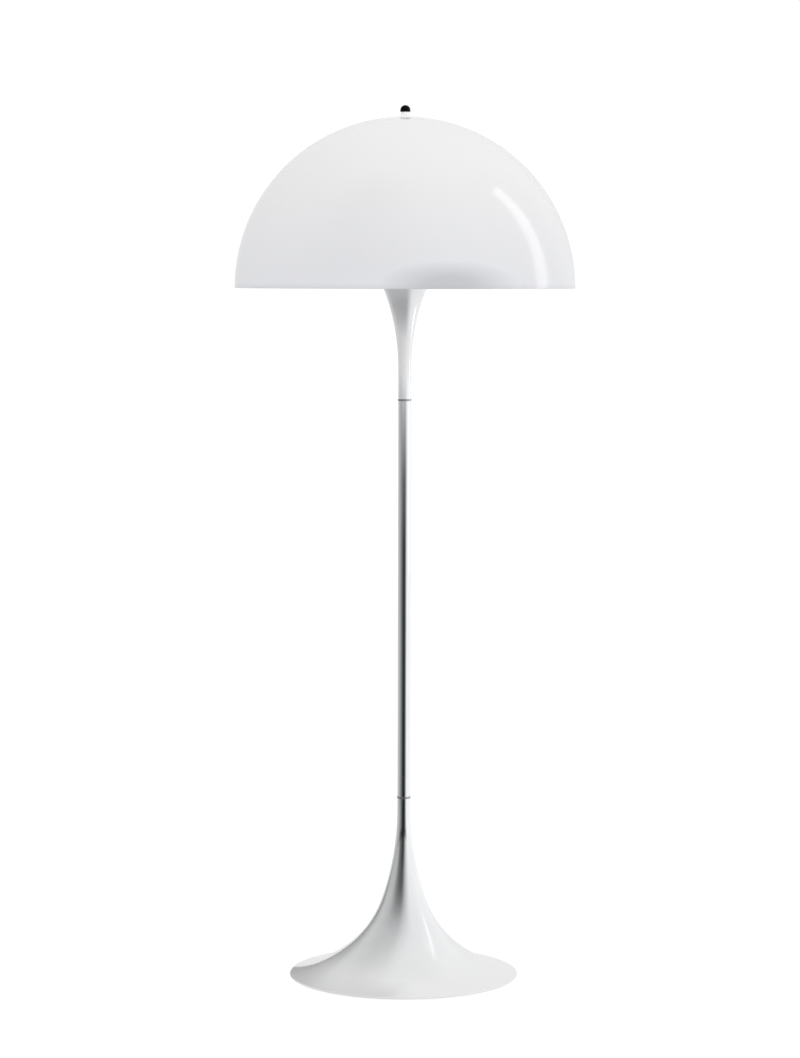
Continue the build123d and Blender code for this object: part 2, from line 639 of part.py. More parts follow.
# ---- the whole lamp ----
def lamp():
    nut_low = NUT_SEAT_Z - WASHER_T - NUT_T
    parts = [
        ("floor_pad", tube(PAD_OUT_R, PAD_OUT_R - PAD_W, 0, PAD_T)),
        ("base_plate", base_plate()),
        group("plate_screws", *plate_screws()),
        ("foot_shell", foot_shell()),
        ("cord_bushing", cord_bushing()),
        ("ballast_weight", ballast_weight()),
        ("terminal_block", terminal_block()),
        ("rod_washer", tube(WASHER_R, ROD_HOLE_R, NUT_SEAT_Z - WASHER_T, NUT_SEAT_Z)),
        ("rod_nut", hex_nut(NUT_FLATS, ROD_HOLE_R, nut_low, nut_low + NUT_T)),
        ("foot_sleeve", tube(SLEEVE_R, ROD_HOLE_R, HUB_TOP, FOOT_SHOULDER_Z)),
        ("tie_rod", tie_rod()),
        ("lower_ring", joint_ring(FOOT_TOP, NECK_BORE_R, TUBE_BORE_R)),
        ("stem_tube", tube(TUBE_R, TUBE_BORE_R, TUBE_Z, TUBE_TOP)),
        ("upper_ring", joint_ring(TUBE_TOP, TUBE_BORE_R, NECK_BORE_R)),
        ("head_shell", head_shell()),
        ("head_sleeve", head_sleeve()),
        ("cluster_plate", cluster_plate()),
        ("supply_lead", supply_lead()),
        group("holder_leads", *holder_leads()),
        ("switch_lead", rod(CORE_R, SPLIT_Z, SEAT_Z - DRUM_H)),
        ("rod_coupler", hex_nut(COUPLER_FLATS, ROD_HOLE_R, HOLDER_Z, HOLDER_Z + COUPLER_L)),
        ("support_rod", tube(ROD_R, ROD_BORE_R, ROD_TOP,
                             HOUSING_Z + HOUSING_FLOOR_T + THIN_NUT_T + ROD_TAIL)),
        group("support_nuts", *support_nuts()),
        ("switch_housing", switch_housing()),
        group("seat_screws", *seat_screws()),
        ("shade_seat", shade_seat()),
        ("shade_gasket", tube(GASKET_R, BUSHING_R + SLIP, SEAT_Z + SEAT_T, CROWN_PAD_Z)),
        ("shade", shade()),
        ("collar_nut", collar_nut()),
        ("switch_body", switch_body()),
        ("switch_shaft", switch_shaft()),
        ("knob", knob()),
    ]
    stub_nut = hex_nut(STUB_NUT_FLATS, STUB_R + FIT, CLUSTER_Z - THIN_NUT_T, CLUSTER_Z)
    places = around(LAMPS, LAMP_RING_R, LAMP_ANGLES[0])
    parts.append(group("holder_nuts", *[place * stub_nut for place in places]))
    for number, place in enumerate(places, start=1):
        parts.append((f"lampholder_{number}", place * lampholder()))
        parts.append((f"bulb_cap_{number}", place * bulb_cap()))
        parts.append((f"bulb_glass_{number}", place * bulb_glass()))
    return parts


os.makedirs("parts", exist_ok=True)
for node, shape in lamp():
    export_step(shape, f"parts/{node}.step")
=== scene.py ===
"""Looks for the mushroom floor lamp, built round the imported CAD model. Metres; the front is -Y."""
import json
from math import cos, hypot, pi, radians, sin, tan

import bpy
from mathutils import Matrix, Vector

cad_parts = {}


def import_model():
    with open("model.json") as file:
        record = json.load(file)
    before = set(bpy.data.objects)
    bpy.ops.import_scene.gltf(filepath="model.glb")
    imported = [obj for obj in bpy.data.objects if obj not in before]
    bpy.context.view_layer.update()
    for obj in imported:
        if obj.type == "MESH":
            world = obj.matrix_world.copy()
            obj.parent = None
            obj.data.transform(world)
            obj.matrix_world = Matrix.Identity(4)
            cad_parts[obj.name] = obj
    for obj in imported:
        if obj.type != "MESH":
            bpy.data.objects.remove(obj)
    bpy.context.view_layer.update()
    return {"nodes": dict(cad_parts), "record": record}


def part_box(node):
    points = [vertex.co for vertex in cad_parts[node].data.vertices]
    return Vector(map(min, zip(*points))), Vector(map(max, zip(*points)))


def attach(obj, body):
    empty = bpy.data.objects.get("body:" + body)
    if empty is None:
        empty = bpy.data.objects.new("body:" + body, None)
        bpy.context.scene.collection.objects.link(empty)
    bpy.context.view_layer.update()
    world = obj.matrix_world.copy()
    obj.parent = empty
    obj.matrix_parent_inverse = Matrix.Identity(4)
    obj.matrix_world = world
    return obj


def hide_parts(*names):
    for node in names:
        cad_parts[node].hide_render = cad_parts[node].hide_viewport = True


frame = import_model()
nodes = frame["nodes"]
RIM_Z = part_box("shade")[0].z
FULL = 2 * pi


# ---- node helpers ----
MIX_LOW, MIX_HIGH, MIX_RESULT = 6, 7, 2       # the colour sockets of a Mix node


class Tree:
    """A material, and short ways to add nodes to it."""

    def __init__(self, name):
        self.material = bpy.data.materials.new(name)
        self.material.use_nodes = True
        self.tree = self.material.node_tree

    def link(self, source, target):
        self.tree.links.new(source, target)

    def feed(self, target, value):
        """Link a socket to an input, or set the input; one number sets a grey."""
        if isinstance(value, bpy.types.NodeSocket):
            self.link(value, target)
        elif target.type == "RGBA":
            colour = value if isinstance(value, tuple) else (value, value, value)
            target.default_value = (*colour, 1.0)
        else:
            target.default_value = value

    def node(self, kind, *inputs, **settings):
        """Add a node with its settings, and feed its first inputs in turn."""
        made = self.tree.nodes.new(kind)
        for label, value in settings.items():
            setattr(made, label, value)
        for target, value in zip(made.inputs, inputs):
            self.feed(target, value)
        return made

    def mix(self, factor, low, high):
        """Colour between low and high; each is a socket, a colour or one grey."""
        made = self.node("ShaderNodeMix", data_type="RGBA")
        self.feed(made.inputs["Factor"], factor)
        self.feed(made.inputs[MIX_LOW], low)
        self.feed(made.inputs[MIX_HIGH], high)
        return made.outputs[MIX_RESULT]

    def ramp(self, value, stops, scale=1.0, offset=0.0, blend="LINEAR"):
        """Grey by stops of (place, tone); a place is scaled and shifted to the ramp's 0..1."""
        made = self.node("ShaderNodeValToRGB", value)
        made.color_ramp.interpolation = blend
        band = made.color_ramp.elements
        while len(band) < len(stops):
            band.new(1.0)
        for element, (place, tone) in zip(band, stops):
            element.position = place * scale + offset
            element.color = (tone, tone, tone, 1)
        return made.outputs["Color"]


class Shader(Tree):
    """A Principled material with procedural inputs added one at a time."""

    def __init__(self, name, base, roughness, metallic=0.0, **sockets):
        super().__init__(name)
        self.shader = self.tree.nodes["Principled BSDF"]
        self.base, self.roughness = base, roughness
        self.set("Base Color", (*base, 1.0))
        self.set("Roughness", roughness)
        self.set("Metallic", metallic)
        for label, value in sockets.items():
            self.set(label.replace("_", " "), value)
        self.material.diffuse_color = (*base, 1.0)
        self.coordinates = self.node("ShaderNodeTexCoord").outputs["Object"]

    def set(self, label, value):
        self.shader.inputs[label].default_value = value

    def drive(self, label, source):
        """Let a socket drive one of the shader's inputs."""
        self.link(source, self.shader.inputs[label])

    def scaled(self, scale):
        """The object's own coordinates, scaled along each axis."""
        made = self.node("ShaderNodeMapping", self.coordinates)
        made.inputs["Scale"].default_value = scale
        return made.outputs["Vector"]

    def noise(self, scale, stretch=(1, 1, 1), detail=3.0):
        """Noise in the object's own metres; scale is in features per metre."""
        made = self.node("ShaderNodeTexNoise", self.scaled(stretch))
        made.inputs["Scale"].default_value = scale
        made.inputs["Detail"].default_value = detail
        return made.outputs["Fac"]

    def spread(self, factor, low, high, start=0.3, end=0.7):
        """Map a factor from start..end onto low..high."""
        return self.node("ShaderNodeMapRange", factor, start, end, low, high).outputs["Result"]

    def height(self, low, high, blend="SMOOTHSTEP"):
        """0 below the height low, 1 above the height high."""
        z = self.node("ShaderNodeSeparateXYZ", self.coordinates).outputs["Z"]
        return self.node("ShaderNodeMapRange", z, low, high,
                         interpolation_type=blend).outputs["Result"]

    def mottle(self, scale, amount, stretch=(1, 1, 1)):
        """Small uneven tone in the base colour."""
        low = tuple(c * (1 - amount) for c in self.base)
        high = tuple(min(1.0, c * (1 + amount)) for c in self.base)
        share = self.spread(self.noise(scale, stretch), 0.0, 1.0)
        self.drive("Base Color", self.mix(share, low, high))

    def rough(self, scale, amount, stretch=(1, 1, 1)):
        """Uneven roughness, amount either side of the mean."""
        low, high = self.roughness * (1 - amount), self.roughness * (1 + amount)
        self.drive("Roughness", self.spread(self.noise(scale, stretch), low, high))

    def bump(self, factor, strength, depth):
        """Relief from a factor; depth is in metres."""
        made = self.node("ShaderNodeBump")
        made.inputs["Strength"].default_value = strength
        made.inputs["Distance"].default_value = depth
        self.link(factor, made.inputs["Height"])
        self.drive("Normal", made.outputs["Normal"])


# ---- materials ----
BARE_METAL = (0.86, 0.88, 0.89)
LACQUER_WHITE, LACQUER_CLOUD = (0.9, 0.9, 0.905), (0.78, 0.79, 0.82)
# The dome's cool colour is painted shade: a cooler, slightly darker tone low on the dome, fading out
# at the height set below
DOME_COOL_SHADE, DOME_NEUTRAL, DOME_CLOUD = (0.915, 0.92, 0.965), (0.94, 0.94, 0.937), (0.8, 0.8, 0.82)
LACQUER_CLOUD_SHARE, DOME_CLOUD_SHARE = 0.04, 0.05
COOL_SHADE_TO = RIM_Z + 0.2                         # the painted cool shade fades out at this height
# Painted shadow: a soft grey patch low on the dome, front right; it is full within a share of its
# reach
PAINTED_SHADOW_TONE, PAINTED_SHADOW_STRENGTH, PAINTED_SHADOW_CORE = (0.45, 0.455, 0.48), 0.47, 0.3
PAINTED_SHADOW_PLACE, PAINTED_SHADOW_REACH = (0.062, -0.242, RIM_Z + 0.007), (0.1, 0.2, 0.033)
# Painted shade: the slightly greyer band along the dome's rim
RIM_SHADE_TONE, RIM_SHADE_STRENGTH = (0.5, 0.505, 0.52), 0.3
RIM_SHADE_FROM, RIM_SHADE_TO = RIM_Z - 0.003, RIM_Z + 0.009


def opal_acrylic():
    """Opal dome: painted shade, a cooler and slightly darker tone towards the rim; a painted shadow,
    a soft grey patch low at the front right; painted shade, a greyer band along the rim; and the
    slight waviness of formed sheet.
    """
    made = Shader("opal_acrylic", (0.93, 0.93, 0.935), roughness=0.13, IOR=1.49,
                  Subsurface_Weight=0.3, Subsurface_Radius=(1, 1, 1), Subsurface_Scale=0.003)
    # Painted shade: cooler and a little darker low on the dome
    tone = made.mix(made.height(RIM_Z, COOL_SHADE_TO), DOME_COOL_SHADE, DOME_NEUTRAL)
    cloud = made.spread(made.noise(scale=9.0), 0.0, DOME_CLOUD_SHARE)
    tone = made.mix(cloud, tone, DOME_CLOUD)
    # Painted shadow: the soft grey patch, strongest at its centre
    squeeze = tuple(1 / reach for reach in PAINTED_SHADOW_REACH)
    painted_shadow = made.node("ShaderNodeVectorMath", made.scaled(squeeze), operation="DISTANCE")
    painted_shadow.inputs[1].default_value = [p * k for p, k in zip(PAINTED_SHADOW_PLACE, squeeze)]
    share = made.spread(painted_shadow.outputs["Value"], PAINTED_SHADOW_STRENGTH, 0.0, PAINTED_SHADOW_CORE, 1.0)
    tone = made.mix(share, tone, PAINTED_SHADOW_TONE)
    # Painted shade: greyer towards the rim's lower edge
    edge = made.spread(made.height(RIM_SHADE_FROM, RIM_SHADE_TO), RIM_SHADE_STRENGTH, 0.0, 0.0, 1.0)
    made.drive("Base Color", made.mix(edge, tone, RIM_SHADE_TONE))
    made.rough(scale=14.0, amount=0.2)
    made.bump(made.noise(scale=26.0, detail=1.0), strength=0.05, depth=0.0006)
    return made.material


def thin_lacquer(name, stops):
    """White lacquer over polished metal; stops give how far the metal shows at each height."""
    made = Shader(name, LACQUER_WHITE, roughness=0.09, Coat_Weight=0.5, Coat_Roughness=0.02)
    bottom, top = stops[0][0], stops[-1][0]
    places = [((z - bottom) / (top - bottom), share) for z, share in stops]
    metal = made.ramp(made.height(bottom, top, "LINEAR"), places, blend="CARDINAL")
    cloud = made.spread(made.noise(scale=30.0), 0.0, LACQUER_CLOUD_SHARE)
    lacquer = made.mix(cloud, LACQUER_WHITE, LACQUER_CLOUD)
    made.drive("Base Color", made.mix(metal, lacquer, BARE_METAL))
    made.drive("Metallic", metal)
    made.rough(scale=40.0, amount=0.25)
    made.bump(made.noise(scale=160.0, detail=1.0), strength=0.03, depth=0.0003)
    return made.material


def glowing_collar_lacquer():
    """White gloss lacquer with a faint painted glow, though the collar is no lamp, which lightens
    the collar and the dome beside it in their shade.
    """
    # The emission is painted light: a glow that lifts the shade at the collar
    made = Shader("glowing_collar_lacquer", (0.93, 0.93, 0.93), roughness=0.12, Coat_Weight=0.5,
                  Coat_Roughness=0.03, Emission_Color=(1, 1, 1, 1), Emission_Strength=0.15)
    made.mottle(scale=120.0, amount=0.04)
    made.rough(scale=120.0, amount=0.25)
    made.bump(made.noise(scale=360.0), strength=0.04, depth=0.0001)
    return made.material


def drawn_metal(name, base, roughness, stretch):
    """Metal with fine lines along one direction."""
    fineness = 700.0
    made = Shader(name, base, roughness, metallic=1.0)
    made.mottle(fineness, 0.05, stretch)
    made.rough(fineness, 0.35, stretch)
    made.bump(made.noise(fineness, stretch), strength=0.05, depth=0.00005)
    return made.material


def matt(name, base, roughness, scale, relief, metallic=0.0, **sockets):
    """Rubber, moulded plastic, cast iron or satin lacquer."""
    made = Shader(name, base, roughness, metallic, **sockets)
    made.mottle(scale, amount=0.10)
    made.rough(scale * 2, amount=0.15)
    made.bump(made.noise(scale * 4, detail=6.0), strength=0.3, depth=relief)
    return made.material


def opal_glass():
    """Milky glass of the bulbs."""
    made = Shader("opal_glass", (0.96, 0.96, 0.94), roughness=0.12, Coat_Weight=0.5,
                  Subsurface_Weight=0.1)
    made.mottle(scale=60.0, amount=0.02)
    made.rough(scale=60.0, amount=0.2)
    return made.material


ALONG, ROUND = (1, 1, 0.02), (0.15, 0.15, 1)  # noise stretched up the axis, and round it
METALS = {                  # colour, roughness, direction of the lines
    "polished_tube": (BARE_METAL, 0.08, ALONG),
    "satin_ring": ((0.36, 0.37, 0.38), 0.22, ROUND),
    "zinc_steel": ((0.62, 0.63, 0.65), 0.32, ROUND),
    "cap_metal": ((0.78, 0.78, 0.76), 0.3, ROUND),
    "brass_shaft": ((0.78, 0.6, 0.32), 0.25, ROUND),
}
MATTS = {                   # colour, roughness, grain per metre, relief in metres, how metallic
    "pressed_steel": ((0.85, 0.85, 0.84), 0.4, 150.0, 0.00005),
    "iron": ((0.12, 0.12, 0.12), 0.7, 120.0, 0.0004, 0.6),
    "black_plate": ((0.04, 0.04, 0.042), 0.45, 250.0, 0.00008),
    "black_rubber": ((0.03, 0.03, 0.03), 0.8, 300.0, 0.0002),
    "pale_rubber": ((0.8, 0.8, 0.78), 0.75, 300.0, 0.0001),
    "nylon": ((0.82, 0.8, 0.74), 0.5, 200.0, 0.0001),
    "lead_sheath": ((0.75, 0.75, 0.73), 0.55, 300.0, 0.0001),
    "holder_plastic": ((0.86, 0.86, 0.84), 0.4, 200.0, 0.00008),
    "switch_plastic": ((0.05, 0.05, 0.05), 0.5, 200.0, 0.0001),
}
# Height on a trumpet, and the share of bare metal that shows through the lacquer there
FOOT_METAL = [(0.02, 0.08), (0.035, 0.2), (0.05, 0.28), (0.08, 0.42), (0.10, 0.62), (0.13, 0.85),
              (0.165, 0.93), (0.2, 0.96), (0.23, 1.0)]
HEAD_METAL = [(0.85, 0.55), (0.872, 0.5), (0.9, 0.12), (0.93, 0.0), (0.955, 0.1), (0.985, 0.38),
              (1.01, 0.35), (1.05, 0.05)]

materials = {"opal_acrylic": opal_acrylic(), "opal_glass": opal_glass()}
materials.update((name, drawn_metal(name, *look)) for name, look in METALS.items())
materials.update((name, matt(name, *look)) for name, look in MATTS.items())
materials["black_knob"] = matt("black_knob", (0.003, 0.003, 0.003), 0.25, 250.0, 0.00002,
                               Specular_IOR_Level=0.06)
lacquers = {
    "foot_shell": thin_lacquer("foot_lacquer", FOOT_METAL),
    "head_shell": thin_lacquer("head_lacquer", HEAD_METAL),
    "collar_nut": glowing_collar_lacquer(),
}
for row in frame["record"]["subparts"]:
    node = nodes[row["node"]]
    node.data.materials.clear()
    node.data.materials.append(lacquers.get(row["node"]) or materials[row["material_slot"]])


# ---- pieces with the detail that the CAD solids leave plain; sizes in millimetres ----
MM = 0.001
AXIS = (0.0, 0.0)
SHARP_EDGE = radians(35)                      # a crease beyond this stays sharp
TRIPLE = (90.0, 210.0, 330.0)                 # bearings of what comes in threes
QUAD = (45, 135, 225, 315)
LAMP_RING_R = 42.0
SEAT_SCREW_RING_R, PLATE_SCREW_RING_R = 23.5, 92.0
PIPE_THREAD = (4.6, 5.0, 1.0)                 # root radius, crest radius, pitch
SKIRT_THREAD = (12.35, 12.8, 2.0)
SOCKET_THREAD = (7.2, 7.6, 2.82)
CAP_THREAD = (6.45, 6.9, 2.82)
PIPE_BORE, PIPE_NUT_BORE = 3.6, 5.05          # radii
SEAT_SCREW = (2.6, 1.8, 1.5, 0.5)             # head radius and height, shank radius, pitch
PLATE_SCREW = (4.5, 1.6, 2.5, 0.8)
COUPLER_FLATS, SUPPORT_FLATS, HOLDER_FLATS = 15, 17, 14
SUPPORT_NUT_T = 5
STUB_L = 12                                   # of a lampholder, below its body
NECK_R = 9.5                                  # of both trumpets


def ends(node):
    """Lowest and highest point of a CAD node."""
    low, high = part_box(node)
    return low.z / MM, high.z / MM


def on_ring(radius, angles):
    """Points (x, y) on a circle round the axis."""
    return [(radius * cos(radians(a)), radius * sin(radians(a))) for a in angles]


def raised(base, profile):
    """Rings (radius, height) lifted by base."""
    return [(r, base + z) for r, z in profile]


def loft(rings, centre, segments, closed):
    """Points and faces of rings round an upright axis. A ring is (radius, height), or gives them
    for each angle. Closed joins the last ring to the first; otherwise both ends are capped."""
    points, faces = [], []
    for ring in rings:
        for i in range(segments):
            angle = FULL * i / segments
            r, z = ring(angle) if callable(ring) else ring
            x, y = centre[0] + r * cos(angle), centre[1] + r * sin(angle)
            points.append((x * MM, y * MM, z * MM))
    count = len(rings)
    for k in range(count if closed else count - 1):
        a, b = k * segments, (k + 1) % count * segments
        for i in range(segments):
            j = (i + 1) % segments
            faces.append((a + i, a + j, b + j, b + i))
    if not closed:
        faces.append(tuple(reversed(range(segments))))
        faces.append(tuple(range((count - 1) * segments, count * segments)))
    return points, faces


def piece(name, shapes, slot, *replaced, material=None):
    """One object from lofts, riding on the stand, in place of the CAD nodes it replaces."""
    points, faces = [], []
    for more_points, more_faces in shapes:
        start = len(points)
        points += more_points
        faces += [tuple(start + i for i in face) for face in more_faces]
    mesh = bpy.data.meshes.new(name)
    mesh.from_pydata(points, [], faces)
    mesh.polygons.foreach_set("use_smooth", [True] * len(faces))
    mesh.set_sharp_from_angle(angle=SHARP_EDGE)
    mesh.materials.append(material or materials[slot])
    thing = bpy.data.objects.new(name, mesh)
    bpy.context.scene.collection.objects.link(thing)
    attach(thing, "stand")
    if replaced:
        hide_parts(*replaced)


def thread(low, high, root, crest, pitch, rows, rounded=False):
    """Rings of a screw thread, run out over one pitch at each end; rows is the rings per pitch."""
    count = max(2, round((high - low) / pitch * rows))
    steepness, flat_root = 1.25, 0.1          # of a thread that is not rounded

    def at(z):
        run_out = min(1.0, (z - low) / pitch, (high - z) / pitch)

        def ring(angle):
            phase = (z / pitch - angle / FULL) % 1.0
            if rounded:
                wave = 0.5 - 0.5 * cos(FULL * phase)
            else:
                wave = min(1.0, max(0.0, steepness * (1 - abs(2 * phase - 1)) - flat_root))
            return root + (crest - root) * wave * max(0.0, run_out), z

        return ring

    return [at(low + (high - low) * i / count) for i in range(count + 1)]


def hex_nut(flats, low, high, centre, turn=0.0):
    """Nut for the pipe with both faces chamfered to a circle and one corner at the angle turn."""
    bore, chamfer = PIPE_NUT_BORE, 0.4
    inscribed = flats / 2
    circle = 0.96 * inscribed                 # where the chamfer of a face starts
    slope = tan(radians(30))

    def corner(angle):
        return inscribed / cos((angle - radians(turn)) % (pi / 3) - pi / 6)

    def edge(z, sign):
        return lambda angle: (corner(angle), z + sign * (corner(angle) - circle) * slope)

    rings = [(bore + chamfer, low), (circle, low), edge(low, 1), edge(high, -1), (circle, high),
             (bore + chamfer, high), (bore, high - chamfer), (bore, low + chamfer)]
    return loft(rings, centre, segments=72, closed=True)


def cross_screw(head_r, head_t, shank_r, pitch, low, high, centre):
    """Pan-head screw, head down, with a cross recess and a thread."""
    arm, reach, depth = 0.17 * head_r, 0.56 * head_r, 0.75 * head_t   # of the recess
    arm_edge = 0.25 * arm
    crown, face_rings, edge_w, edge_h = 0.45 * head_t, 16, 0.1, 0.15
    neck, tip, root_r, tip_r = 0.2, 0.5, 0.86 * shank_r, 0.6 * shank_r

    def face(r):
        dome = low + crown * (r / head_r) ** 4

        def ring(angle):
            x, y = sorted((abs(r * cos(angle)), abs(r * sin(angle))))
            across = min(1.0, max(0.0, (arm - x) / arm_edge + 0.5))
            along = min(1.0, max(0.0, (reach - y) / arm))
            return r, dome + depth * (across * along)

        return ring

    under = low + head_t
    rings = [face(head_r * k / face_rings) for k in range(1, face_rings + 1)]
    rings += [(head_r, under - edge_h), (head_r - edge_w, under), (shank_r, under)]
    rings += thread(under + neck, high - tip, root_r, shank_r, pitch, rows=6)
    return loft(rings + [(tip_r, high)], centre, segments=64, closed=False)


def lampholder(centre, base):
    """Moulded holder whose body stands on the height base: a way for the cores up a threaded
    stub, fluted foot, knurled collar, threaded skirt and a screw socket."""
    core_r, core_top = 2.2, 10
    foot_r, foot_flare, foot_h, foot_rings = 11, 1.8, 13, 10
    collar_r, collar_edge_r, collar_low, collar_high = 14, 13.5, 24, 27
    flutes, flute_depth, knurls, knurl_depth = 16, 0.5, 24, 0.3
    body_r, top, socket_floor = 12.8, 40, 16
    skirt_r, socket_r, socket_crest = SKIRT_THREAD[0], *SOCKET_THREAD[:2]

    def fluted(z):
        share = (z - base) / foot_h
        depth = flute_depth * sin(pi * min(1.0, max(0.0, share)))
        return lambda angle: (foot_r + foot_flare * share
                              - depth * (0.5 + 0.5 * cos(flutes * angle)), z)

    def knurled(z):
        return lambda angle: (collar_r - knurl_depth * (0.5 + 0.5 * cos(knurls * angle)), z)

    rings = raised(base, [(core_r, core_top), (core_r, -11.7), (2.6, -STUB_L)])
    rings += thread(base - STUB_L, base, *PIPE_THREAD, rows=4)               # stub
    rings += raised(base, [(10.7, 0), (foot_r, 0.3)])                        # foot
    rings += [fluted(base + foot_h * k / foot_rings) for k in range(1, foot_rings + 1)]
    rings += raised(base, [(body_r, collar_low), (collar_edge_r, collar_low)])
    rings += [knurled(base + 24.4), knurled(base + 26.6)]
    rings += raised(base, [(collar_edge_r, collar_high), (body_r, collar_high), (skirt_r, 27.3)])
    rings += thread(base + 27.6, base + 38.4, *SKIRT_THREAD, rows=6)         # skirt
    rings += raised(base, [(skirt_r, 38.8), (11.6, top), (socket_crest, top), (socket_r, 39.6)])
    rings += thread(base + 17, base + 39.2, *SOCKET_THREAD, rows=6, rounded=True)[::-1]
    return loft(rings + [(socket_r, base + socket_floor)], centre, segments=96, closed=False)


def bulb_cap(centre, low, high):
    """Rolled screw cap with its contact and the cone under it; open above, with a floor inside."""
    contact = [(2.1, 0), (2.5, 0.4), (2.5, 1.1), (3.4, 1.4)]
    shoulder = [(5.7, 0), (6.3, 0.3), (6.45, 0.9)]
    rim = [(6.45, -2.2), (6.5, -1.2), (6.8, -0.4), (6.9, 0), (6.3, 0), (6.3, -17.3)]
    cup = low + 2.6
    rings = raised(low, contact) + raised(cup, shoulder)
    rings += thread(cup + 1.2, high - 2.5, *CAP_THREAD, rows=8, rounded=True)
    return loft(rings + raised(high, rim), centre, segments=64, closed=False)


def flank(start, way, neck, arcs, stop):
    """Outer face of a trumpet, run smoothly together: a straight neck of a length, then arcs of
    (radius, end angle) up to the angle stop. Way is UP or DOWN."""
    smooth_reach, smooth_passes, keep_each = 9, 2, 3    # of points that lie about 1 mm apart
    points = [(NECK_R, start + way * k) for k in range(int(neck))]
    r, z, angle = NECK_R, start + way * neck, 0.0
    for radius, end in arcs:
        last = min(end, stop)
        steps = round(radius * radians(last - angle))
        a = radians(angle)
        for k in range(steps + 1):
            b = radians(angle + (last - angle) * k / steps)
            points.append((r + radius * (cos(a) - cos(b)), z + way * radius * (sin(b) - sin(a))))
        r, z = points.pop()
        angle = last
    for _ in range(smooth_passes):
        reach = [min(smooth_reach, i, len(points) - 1 - i) for i in range(len(points))]
        points = [tuple(sum(p[k] for p in points[i - h:i + h + 1]) / (2 * h + 1) for k in (0, 1))
                  for i, h in enumerate(reach)]
    return points[::keep_each]


def film(name, points, way, material):
    """Film of lacquer over a trumpet's flank, with one face just outside the flank and one inside
    the wall, so that gloss shows no line where two arcs of the flank meet."""
    outside, inside = 0.06, -0.5

    def face(offset):
        made = []
        for i, (r, z) in enumerate(points):
            (r0, z0), (r1, z1) = points[max(0, i - 1)], points[min(len(points) - 1, i + 1)]
            scale = way * offset / hypot(r1 - r0, z1 - z0)
            made.append((r + scale * (z1 - z0), z - scale * (r1 - r0)))
        return made

    rings = face(outside) + face(inside)[::-1]
    shape = loft(rings[::way], AXIS, segments=192, closed=True)
    piece(name, [shape], "white_gloss", material=material)


def details():
    """Threads, chamfered nuts, cross-head screws and moulded holders for the plain solids."""
    lamps = on_ring(LAMP_RING_R, TRIPLE)

    def zinc(suffix, node, shapes):
        piece(node + suffix, shapes, "zinc_steel", node)

    low, high = ends("support_rod")
    mouth, lip = PIPE_BORE + 0.3, 0.3         # the bore opens a little at both ends
    rod = thread(low, high, *PIPE_THREAD, rows=6)
    rod += [(mouth, high), (PIPE_BORE, high - lip), (PIPE_BORE, low + lip), (mouth, low)]
    zinc("_threaded", "support_rod", [loft(rod, AXIS, segments=32, closed=True)])
    zinc("_nut", "rod_coupler", [hex_nut(COUPLER_FLATS, *ends("rod_coupler"), AXIS)])
    low, high = ends("support_nuts")
    zinc("_chamfered", "support_nuts", [hex_nut(SUPPORT_FLATS, low, low + SUPPORT_NUT_T, AXIS),
                                        hex_nut(SUPPORT_FLATS, high - SUPPORT_NUT_T, high, AXIS)])
    zinc("_chamfered", "holder_nuts", [hex_nut(HOLDER_FLATS, *ends("holder_nuts"), spot, angle)
                                       for spot, angle in zip(lamps, TRIPLE)])
    body_base = ends("lampholder_1")[0] + STUB_L
    for number, spot in enumerate(lamps, 1):
        holder, cap = f"lampholder_{number}", f"bulb_cap_{number}"
        piece(holder + "_moulded", [lampholder(spot, body_base)], "holder_plastic", holder)
        piece(cap + "_rolled", [bulb_cap(spot, *ends("bulb_cap_1"))], "cap_metal", cap)
    zinc("_cross", "seat_screws", [cross_screw(*SEAT_SCREW, *ends("seat_screws"), spot)
                                   for spot in on_ring(SEAT_SCREW_RING_R, TRIPLE)])
    zinc("_cross", "plate_screws", [cross_screw(*PLATE_SCREW, *ends("plate_screws"), spot)
                                    for spot in on_ring(PLATE_SCREW_RING_R, QUAD)])


UP, DOWN = 1, -1                              # the way in which a trumpet widens
FOOT_STRAIGHT, HEAD_STRAIGHT = 16.4, 47.4     # length of neck before the first arc
FOOT_ARCS = ((408, 19.5), (153, 46), (192, 79))         # radius, and angle from upright at its end
HEAD_ARCS = ((310, 22), (110, 74))
FOOT_STOP, HEAD_STOP = 68.0, 71.0             # angle at which a film ends
RING_GAP = 0.1                                # between a film and the ring beside it

details()
foot_flank = flank(ends("foot_shell")[1] - RING_GAP, DOWN, FOOT_STRAIGHT, FOOT_ARCS, FOOT_STOP)
head_flank = flank(ends("head_shell")[0] + RING_GAP, UP, HEAD_STRAIGHT, HEAD_ARCS, HEAD_STOP)
film("foot_lacquer_film", foot_flank, DOWN, lacquers["foot_shell"])
film("head_lacquer_film", head_flank, UP, lacquers["head_shell"])


# ---- studio ----
BEARING = dict(scale=1 / 360.0, offset=0.5)   # ramp stops in degrees from the front, + to the right
RISE = dict(scale=1 / 180.0, offset=0.5)      # ramp stops in degrees above the horizon
EYE_LEVEL = 0.5                               # height from which a rise is measured
SCREEN_TONE = (0.002, 0.006, 0.008)
FLOOR_HALF, DOME_R, BACKDROP_R = 15.0, 9.0, 14.0


